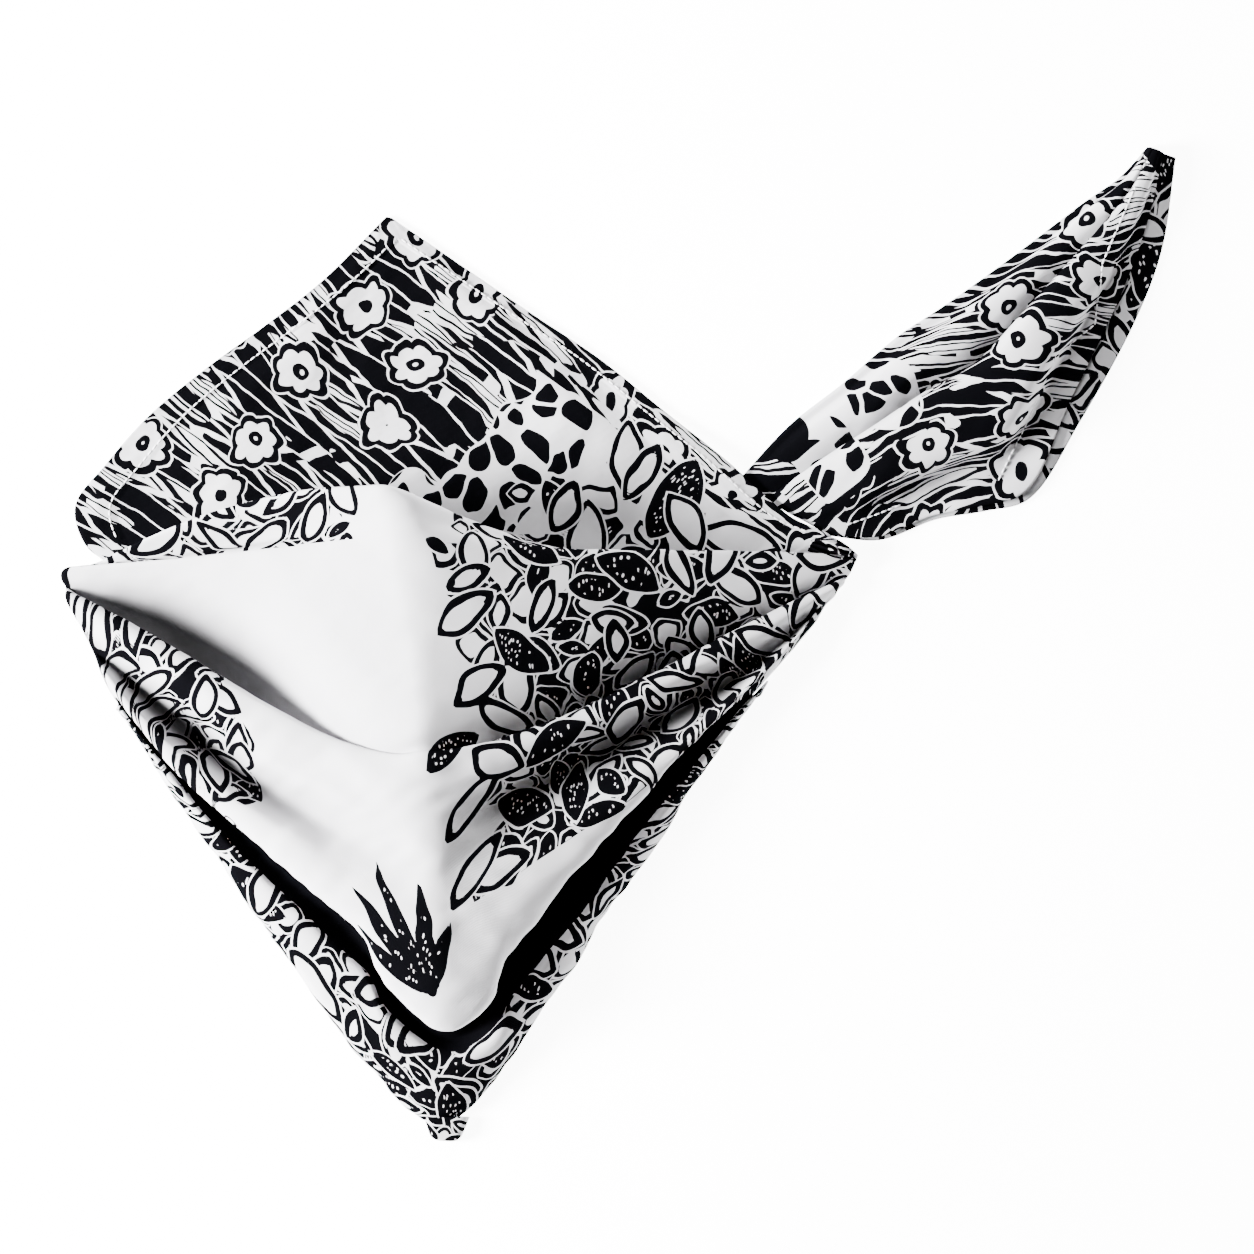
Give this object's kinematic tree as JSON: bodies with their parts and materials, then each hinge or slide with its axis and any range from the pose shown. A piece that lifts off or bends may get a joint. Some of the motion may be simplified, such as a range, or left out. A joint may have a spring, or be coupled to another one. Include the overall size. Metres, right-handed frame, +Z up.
{
  "type": "head wrap",
  "caption": "Printed cotton head wrap folded to a pointed cowl and laid flat: pleated front drape over a hemmed back flap, with a folded tie tail at one side.",
  "frame": {"origin": "centre of the bounding box in plan, on the surface that the wrap lies on", "axes": "+X runs towards the tie tail, +Y towards the pointed back flap, +Z up, away from the surface"},
  "size_m": [0.407, 0.3631, 0.0536],
  "materials": {
    "printed_cotton": "matt plain-weave cotton, white ground with a black botanical print"
  },
  "bodies": {
    "root": {"back_panel": "printed_cotton", "front_drape": "printed_cotton", "tie_tail": "printed_cotton", "corner_gather": "printed_cotton", "tip_tuck": "printed_cotton"}
  },
  "joints": []
}
